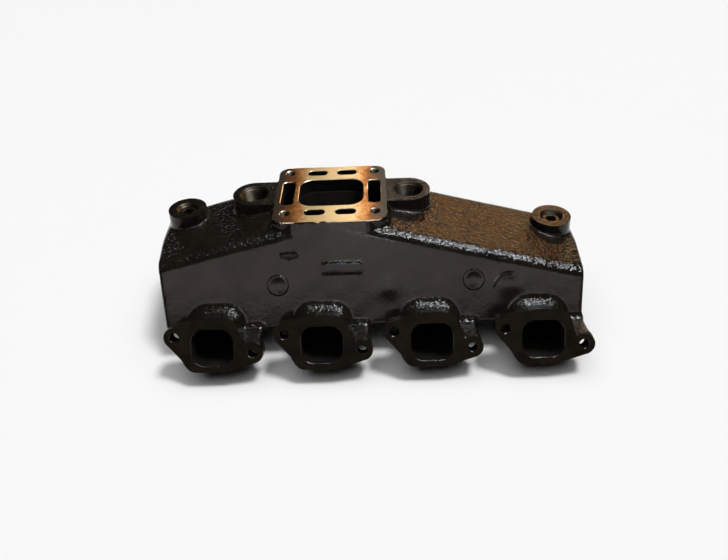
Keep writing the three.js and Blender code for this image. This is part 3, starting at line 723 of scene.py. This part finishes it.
def cut(piece, tools):
    combine(piece, tools, "DIFFERENCE")


# ---- materials --------------------------------------------------------------------------------------------
def shader(name, **settings):
    """A principled material, its sockets set by name."""
    material = bpy.data.materials.new(name)
    material.use_nodes = True
    tree = material.node_tree
    principled = tree.nodes["Principled BSDF"]
    for socket, value in settings.items():
        principled.inputs[socket.replace("_", " ")].default_value = value
    return material, tree, principled


def add_node(tree, kind, inputs=None, **settings):
    """A shader node, its inputs linked to sockets or set to values."""
    node = tree.nodes.new(kind)
    for key, value in settings.items():
        setattr(node, key, value)
    for key, value in (inputs or {}).items():
        if isinstance(value, bpy.types.NodeSocket):
            tree.links.new(value, node.inputs[key])
        else:
            node.inputs[key].default_value = value
    return node


def object_place(tree):
    """Where a point is on the object, in metres."""
    return add_node(tree, "ShaderNodeTexCoord").outputs["Object"]


def noise(tree, scale, detail=4.0, roughness=0.6):
    inputs = {"Vector": object_place(tree), "Scale": scale, "Detail": detail, "Roughness": roughness}
    return add_node(tree, "ShaderNodeTexNoise", inputs).outputs["Fac"]


def ramp(tree, factor, *stops):
    """A colour for each value of a factor, from (position, colour) stops."""
    node = add_node(tree, "ShaderNodeValToRGB", {"Fac": factor})
    for i, (position, colour) in enumerate(stops):
        element = node.color_ramp.elements[i] if i < 2 else node.color_ramp.elements.new(position)
        element.position = position
        element.color = (*colour, 1)
    return node.outputs["Color"]


def grey(tree, factor, *stops):
    return ramp(tree, factor, *[(position, (value,) * 3) for position, value in stops])


def calc(tree, operation, a, b=0.0):
    return add_node(tree, "ShaderNodeMath", {0: a, 1: b}, operation=operation).outputs[0]


def bump(tree, height, strength, distance, before=None):
    inputs = {"Height": height, "Strength": strength, "Distance": distance}
    if before:
        inputs["Normal"] = before
    return add_node(tree, "ShaderNodeBump", inputs).outputs["Normal"]


def connect(tree, principled, **sockets):
    for name, socket in sockets.items():
        tree.links.new(socket, principled.inputs[name.replace("_", " ")])


def across(tree):
    """How far to either side of the riser's middle, in metres."""
    x = add_node(tree, "ShaderNodeSeparateXYZ", {"Vector": object_place(tree)}).outputs["X"]
    return calc(tree, "ABSOLUTE", calc(tree, "SUBTRACT", x, ORIGIN.x))


def facing_up(tree, low, high):
    """0 on walls, rising to 1 on surfaces that face upwards."""
    normal = add_node(tree, "ShaderNodeNewGeometry").outputs["Normal"]
    upward = add_node(tree, "ShaderNodeSeparateXYZ", {"Vector": normal}).outputs["Z"]
    return grey(tree, upward, (low, 0), (high, 1))


def sand_cast(tree, depth):
    """The grain of a sand mould under paint: grains on soft lumps, much coarser on what faces upwards."""
    coarseness = calc(tree, "ADD", facing_up(tree, 0.5, 0.85), 0.06)
    lumps = bump(tree, calc(tree, "MULTIPLY", noise(tree, 60, 2, 0.5), coarseness), 1.0, 0.3 * depth)
    return bump(tree, calc(tree, "MULTIPLY", noise(tree, 200, 2, 0.6), coarseness), 1.0, depth, lumps)


def black_paint():
    """Gloss black paint, thick over a sand-cast surface."""
    material, tree, principled = shader("black_casting", Specular_IOR_Level=0.24)
    tone = ramp(tree, noise(tree, 45), (0.3, (0.006, 0.0055, 0.004)), (0.7, (0.014, 0.011, 0.008)))
    gloss = grey(tree, noise(tree, 30), (0.3, 0.12), (0.7, 0.2))
    connect(tree, principled, Base_Color=tone, Roughness=gloss, Normal=sand_cast(tree, 0.0017))
    return material


def shaded_port_paint():
    """The machined port faces: a darker, browner and duller copy of the black paint, its darker brown tone
    painted shade.
    """
    material, tree, principled = shader("port_face_shaded_paint", Specular_IOR_Level=0.05)
    # darker and browner than the black paint: painted shade on the port faces
    tone = ramp(tree, noise(tree, 55), (0.3, (0.005, 0.0042, 0.0025)), (0.7, (0.013, 0.009, 0.005)))
    gloss = grey(tree, noise(tree, 90), (0.3, 0.28), (0.7, 0.42))
    fine = bump(tree, noise(tree, 500), 0.5, 0.0001)
    connect(tree, principled, Base_Color=tone, Roughness=gloss, Normal=fine)
    return material


def machined_iron():
    """The riser's bare face: milled iron whose warm gold tint in the middle is a painted warm reflection,
    browned and then blackened by paint towards its two ends.
    """
    material, tree, principled = shader("machined_iron")
    wander = calc(tree, "MULTIPLY", calc(tree, "SUBTRACT", noise(tree, 70, 5, 0.7), 0.5), 0.045)
    reach = calc(tree, "ADD", across(tree), wander)
    scaled = calc(tree, "DIVIDE", reach, RISER_HALF * MM)
    pale, orange = (0.86, 0.66, 0.38), (0.6, 0.26, 0.08)
    brown, black = (0.2, 0.075, 0.025), (0.03, 0.018, 0.01)
    # pale warm gold in the middle: a painted warm reflection; towards the ends it darkens through orange and
    # brown to black under paint overspray
    tone = ramp(tree, scaled, (0.42, pale), (0.58, orange), (0.74, brown), (0.9, black))
    metal = grey(tree, scaled, (0.7, 1.0), (0.9, 0.3))
    mottle = grey(tree, noise(tree, 260, 4, 0.7), (0.3, 0.26), (0.7, 0.42))
    fine = bump(tree, noise(tree, 900, 2, 0.6), 0.5, 0.00012)
    connect(tree, principled, Base_Color=tone, Metallic=metal, Roughness=mottle, Normal=fine)
    return material


def rim_highlight():
    """The small chamfers round the riser's openings: bare cut metal, its bright warm tone partly a painted
    highlight.
    """
    material, tree, principled = shader("rim_highlight", Metallic=1.0, Roughness=0.3)
    # bright warm tone: partly a painted highlight along the chamfers
    tone = ramp(tree, noise(tree, 200), (0.3, (0.7, 0.5, 0.3)), (0.7, (0.95, 0.8, 0.6)))
    connect(tree, principled, Base_Color=tone)
    return material


def inner_iron():
    """Dark rusty iron inside the passages."""
    material, tree, principled = shader("rusty_inside", Roughness=0.85, Specular_IOR_Level=0.1)
    tone = ramp(tree, noise(tree, 60), (0.3, (0.002, 0.0018, 0.0012)), (0.7, (0.008, 0.006, 0.004)))
    connect(tree, principled, Base_Color=tone)
    return material


def thread_steel():
    """Oiled steel of the socket plugs, and of the cut threads."""
    material, tree, principled = shader("plug_steel", Metallic=0.9, Roughness=0.4)
    tone = ramp(tree, noise(tree, 90), (0.3, (0.022, 0.018, 0.012)), (0.7, (0.06, 0.048, 0.034)))
    connect(tree, principled, Base_Color=tone)
    return material


def brass():
    """The drain plug's metal."""
    material, tree, principled = shader("brass", Metallic=1.0, Roughness=0.35)
    tone = ramp(tree, noise(tree, 90), (0.3, (0.42, 0.28, 0.1)), (0.7, (0.62, 0.46, 0.2)))
    connect(tree, principled, Base_Color=tone)
    return material


# ---- the casting ------------------------------------------------------------------------------------------
def rough_casting(p):
    return casting(p) + waviness(p)


def build_casting():
    """The casting as one closed mesh: its outside, less the passages, less what is machined away."""
    low = [value - BOX_MARGIN for value in from_row(cad_box[0])]
    high = [value + BOX_MARGIN for value in from_row(cad_box[1])]
    skin = solid_from("casting", rough_casting, low, high, SKIN_STEP, SKIN_FACES)
    cut(skin, [solid_from("water", water_space, low, high, HOLLOW_STEP, WATER_FACES)])
    cut(skin, [solid_from("gas", gas_passage, low, high, HOLLOW_STEP, GAS_FACES)])
    cut(skin, face_cutters())
    cut(skin, riser_cutters() + port_cutters() + plug_cutters())
    return skin


PAINTED, MACHINED, RIM, INNER, THREAD, PORT_FACE = range(6)


def dress_casting(skin, finishes):
    """Gives each face the paint, or the bare iron that machining left."""
    skin.data.materials.clear()
    for finish in finishes:
        skin.data.materials.append(finish)
    centres = np.empty(len(skin.data.polygons) * 3)
    skin.data.polygons.foreach_get("center", centres)
    centres = (centres.reshape(-1, 3) - np.array(ORIGIN)) / MM
    x, y, z = centres.T
    kind = np.where(casting(centres) < -SPARE - 0.8, INNER, PAINTED)
    bolt_y = np.where(y < RISER_MID_Y, RISER_BOLT_YS[0], RISER_BOLT_YS[1])
    bolt, hose = np.hypot(np.abs(x) - RISER_BOLT_X, y - bolt_y), np.hypot(np.abs(x) - HOSE_X, y - HOSE_Y)
    bores = [  # distance from the axis, the threads' outer radius, the height of the face, and the depth
        (bolt, RISER_BOLT_RADIUS + 1.3, 0, RISER_BOLT_DEPTH),
        (hose, HOSE_BORE + 1.8, HOSE_TOP, HOSE_DEPTH + 1),
    ]
    for boss, middle_y in zip(END_BOSSES, END_BOSS_YS):
        bores.append((np.hypot(x - boss.x, y - middle_y), END_BORE + 2.4, boss.z, END_DEPTH + 1))
    for distance, radius, top, depth in bores:
        kind[(distance < radius) & (z > top - depth - 3) & (z < top - 0.05)] = THREAD
    kind[np.abs(port_coordinates(centres)[2]) < 0.05] = PORT_FACE
    pad = rounded_rect(x, y - RISER_DEPTH / 2, 2 * RISER_HALF, RISER_DEPTH, RISER_CORNER) < 0.4
    kind[pad & (z > -1.0)] = RIM  # the openings' chamfers, just below the face
    kind[pad & (z > -0.02)] = MACHINED
    skin.data.polygons.foreach_set("material_index", kind.astype(np.int32))
    smooth_by_angle(skin, 32)


def smooth_by_angle(piece, degrees):
    piece.data.shade_smooth()
    piece.data.set_sharp_from_angle(angle=math.radians(degrees))


# ---- separate pieces --------------------------------------------------------------------------------------
def turned(name, profile, matrix, steps=64):
    """A closed solid of revolution from (radius, height) points, starting and ending on the axis."""
    points = [matrix @ Vector((0, 0, profile[0][1]))]
    for radius, height in profile[1:-1]:
        points += [matrix @ Vector((u, v, height)) for u, v in circle_outline(radius, steps=steps)]
    points.append(matrix @ Vector((0, 0, profile[-1][1])))
    last = len(points) - 1
    faces = []
    for i in range(steps):
        j = (i + 1) % steps
        faces.append([0, 1 + j, 1 + i])
        for ring in range(len(profile) - 3):
            start = 1 + ring * steps
            faces.append([start + i, start + j, start + steps + j, start + steps + i])
        faces.append([last, last - steps + i, last - steps + j])
    return mesh_object(name, points, faces)


def bevel(piece, width):
    edge = piece.modifiers.new("edge", "BEVEL")
    edge.width = width * MM
    edge.segments = 2
    edge.limit_method = "ANGLE"
    edge.angle_limit = math.radians(35)
    bake(piece)


def finish_piece(piece, finish, node):
    """Paints a separate piece and puts it in the place of its CAD node."""
    piece.data.materials.clear()
    piece.data.materials.append(finish)
    smooth_by_angle(piece, 35)
    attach(piece, "root")
    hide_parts(node)


def front_core_plug(number):
    """A plug that stands a little proud, with a rounded edge and a faint dish."""
    edge = FRONT_PLUG_RADIUS - 0.35
    profile = [(0, -4), (edge, -4), (edge, 0.2), (edge - 0.6, 0.85), (edge - 1.6, 1.0)]
    profile += [(edge - 3.2, 0.9), (edge * 0.5, 0.55), (edge * 0.2, 0.4), (0, 0.4)]
    return turned(f"port_side_plug_{number}", profile, wall_frame(number))


def rear_core_plug(number):
    """A pressed cup, its rim just below the wall and its floor deeper."""
    edge = REAR_PLUG_RADIUS - 0.3
    profile = [(0, -5.5), (edge, -5.5), (edge, -1.5), (edge - 0.8, -1.2)]
    profile += [(edge - 2.2, -1.4), (edge - 3.4, -3.6), (edge * 0.5, -4.0), (0, -4.0)]
    return turned(f"rear_plug_{number}", profile, rear_frame(f"rear_core_plug_{number}"))


def end_plug(index):
    """A threaded plug with a hexagon socket."""
    boss = END_BOSSES[index]
    top = upright_at(boss.x, END_BOSS_YS[index], boss.z - END_PLUG_SUNK)
    radius = END_BORE - 1.0
    profile = [(0, -14), (radius, -14), (radius, -1.2), (radius - 1.2, 0), (0, 0)]
    piece = turned(f"socket_plug_{index + 1}", profile, top)
    hexagon, rim = circle_outline(SOCKET, steps=6), circle_outline(SOCKET_RIM, steps=6)
    cut(piece, [stack("socket", [(-SOCKET_DEPTH, hexagon), (-0.6, hexagon), (0, rim), (2, rim)], top)])
    return piece


def drain_plug():
    """A brass plug with a square head."""
    outward = rear_frame("drain_boss")
    radius, collar = DRAIN_BORE - 0.6, DRAIN_LENGTH + 2.5
    profile = [(0, -4), (radius, -4), (radius, collar - 1), (radius - 1, collar), (0, collar)]
    shank = turned("drain_plug_brass", profile, outward)
    square = circle_outline(DRAIN_HEAD, steps=4)
    head = stack("head", [(DRAIN_LENGTH, square), (DRAIN_LENGTH + DRAIN_HEAD_LENGTH, square)], outward)
    combine(shank, [head], "UNION")
    bevel(shank, 0.5)
    return shank


# ---- assembly ---------------------------------------------------------------------------------------------
paint, steel = black_paint(), thread_steel()
skin = build_casting()
dress_casting(skin, (paint, machined_iron(), rim_highlight(), inner_iron(), steel, shaded_port_paint()))
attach(skin, "root")
PLUGS = ("end_plug", "front_core_plug", "rear_core_plug", "drain_plug")
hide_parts(*[name for name in sorted(PARTS) if not name.startswith(PLUGS)])
for number in FRONT_PLUGS:
    finish_piece(front_core_plug(number), paint, f"front_core_plug_{number}")
for number in REAR_PLUGS:
    finish_piece(rear_core_plug(number), paint, f"rear_core_plug_{number}")
for index, word in enumerate(("left", "right")):
    finish_piece(end_plug(index), steel, f"end_plug_{word}")
finish_piece(drain_plug(), brass(), "drain_plug")


# ---- floor, light and camera ------------------------------------------------------------------------------
def floor():
    mesh = bpy.data.meshes.new("floor")
    mesh.from_pydata([(-4, -4, 0), (4, -4, 0), (4, 4, 0), (-4, 4, 0)], [], [(0, 1, 2, 3)])
    piece = bpy.data.objects.new("floor", mesh)
    bpy.context.scene.collection.objects.link(piece)
    material, _, _ = shader("floor", Base_Color=(0.9, 0.9, 0.9, 1), Roughness=0.9, Specular_IOR_Level=0.1)
    mesh.materials.append(material)


def from_angles(azimuth, elevation):
    """A direction from the object: azimuth 0 is away from the camera, and 90 is to the right."""
    turn, rise = math.radians(azimuth), math.radians(elevation)
    return Vector((math.sin(turn) * math.cos(rise), math.cos(turn) * math.cos(rise), math.sin(rise)))


def panel(name, azimuth, elevation, distance, size, power, colour):
    """A soft light that faces the object and shows only as a reflection."""
    direction = from_angles(azimuth, elevation)
    light = bpy.data.lights.new(name, "AREA")
    light.shape = "RECTANGLE"
    light.size, light.size_y = size
    light.energy = power
    light.color = colour
    lamp = bpy.data.objects.new(name, light)
    lamp.visible_diffuse = False
    lamp.location = direction * distance
    lamp.rotation_euler = direction.to_track_quat("Z", "Y").to_euler()
    bpy.context.scene.collection.objects.link(lamp)


def sun(name, azimuth, elevation, strength, spread, glossy=True):
    """An even white light from one direction, softened over a disc so many degrees wide."""
    light = bpy.data.lights.new(name, "SUN")
    light.energy = strength
    light.angle = math.radians(spread)
    lamp = bpy.data.objects.new(name, light)
    lamp.visible_glossy = glossy
    lamp.rotation_euler = from_angles(azimuth, elevation).to_track_quat("Z", "Y").to_euler()
    bpy.context.scene.collection.objects.link(lamp)


def backdrop(brightness):
    """A pale surround that is seen behind the floor's edge but is not reflected in the paint."""
    surround = bpy.data.worlds.new("backdrop")
    surround.use_nodes = True
    background = surround.node_tree.nodes["Background"]
    background.inputs["Color"].default_value = (brightness, brightness, brightness, 1)
    surround.cycles_visibility.diffuse = False
    surround.cycles_visibility.glossy = False
    bpy.context.scene.world = surround


CAMERA_PLACE = (54.568, -655.348, 436.513)  # in the casting's frame, in millimetres
CAMERA_BEARING, CAMERA_PITCH, CAMERA_ROLL = -1.623, 38.569, 2.776  # degrees
CAMERA_LENS, CAMERA_SENSOR = 34.51, 36  # millimetres


def camera():
    """Looks down at the object from the port side, with a slight roll about the lens."""
    roll = math.radians(CAMERA_ROLL)
    forward = from_angles(CAMERA_BEARING, -CAMERA_PITCH)
    level = from_angles(CAMERA_BEARING + 90, 0)
    down = forward.cross(level)
    right = level * math.cos(roll) + down * math.sin(roll)
    up = level * math.sin(roll) - down * math.cos(roll)
    lens = bpy.data.cameras.new("camera")
    lens.sensor_width = CAMERA_SENSOR
    lens.lens = CAMERA_LENS
    eye = bpy.data.objects.new("camera", lens)
    matrix = Matrix((right, up, -forward)).transposed().to_4x4()
    matrix.translation = ORIGIN + Vector(CAMERA_PLACE) * MM
    eye.matrix_world = matrix
    bpy.context.scene.collection.objects.link(eye)
    bpy.context.scene.camera = eye


floor()
sun("sky", 0, 90, 1.5, 80, glossy=False)
sun("daylight", 92, 71, 1.9, 14)
COOL, CREAM, BROWN, ROSE = (0.86, 0.94, 1.0), (1.0, 0.88, 0.66), (1.0, 0.46, 0.14), (1.0, 0.86, 0.8)
panel("overhead", 92, 68, 1.4, (0.22, 0.4), 13, COOL)
panel("crest", 180, 86, 1.4, (0.8, 0.06), 7, COOL)
panel("cool_front", 181, 31, 2.2, (0.3, 0.26), 2.5, COOL)
panel("cream_back", -1, 38, 1.5, (0.22, 0.42), 0.8, CREAM)
panel("pale_back", 10, 44, 1.5, (0.05, 0.2), 1.0, COOL)
for azimuth in (17, 27, 37):
    panel("brown_back", azimuth, 35, 1.5, (0.04, 0.22), 1.5, BROWN)
panel("window", 28, 13, 2.0, (0.6, 0.1), 1.2, (1.0, 0.7, 0.4))
panel("low_front", 180, 21, 2.2, (2.4, 0.4), 6, ROSE)
backdrop(0.9)
bpy.context.scene.view_settings.view_transform = "Standard"
camera()
